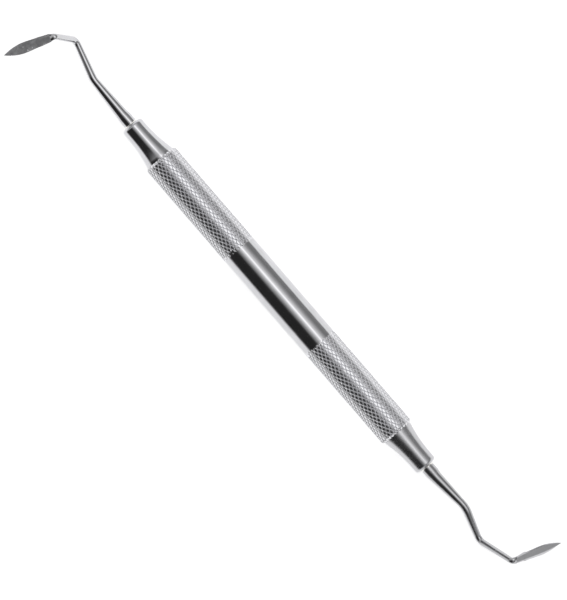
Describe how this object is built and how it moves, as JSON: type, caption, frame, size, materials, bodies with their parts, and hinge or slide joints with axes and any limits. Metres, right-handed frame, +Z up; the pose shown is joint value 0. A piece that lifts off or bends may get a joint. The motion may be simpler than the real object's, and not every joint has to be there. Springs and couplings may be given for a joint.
{
  "type": "dental elevator",
  "caption": "Double-ended dental hand instrument: hollow knurled steel handle with a turned nose cone at each end, and an angled shank with a ground spear blade in each cone.",
  "frame": {"origin": "middle of the instrument's footprint, on the table it rests on", "axes": "+X along the handle towards end B, +Z up from the table, with the instrument in the attitude in which it comes to rest"},
  "size_m": [0.1666, 0.0228, 0.0128],
  "materials": {
    "handle_steel": "polished round the plain middle with a fine lengthwise grain, bright crests on the knurled bands",
    "cone_steel": "turned and polished",
    "solder": "bright silver solder, wiped smooth",
    "blade_steel": "polished shank, blade faces ground to a fine satin"
  },
  "bodies": {
    "root": {"handle_tube": "handle_steel", "nose_cone_a": "cone_steel", "nose_cone_b": "cone_steel", "solder_ring_a": "solder", "solder_ring_b": "solder", "working_end_a": "blade_steel", "working_end_b": "blade_steel"}
  },
  "joints": []
}
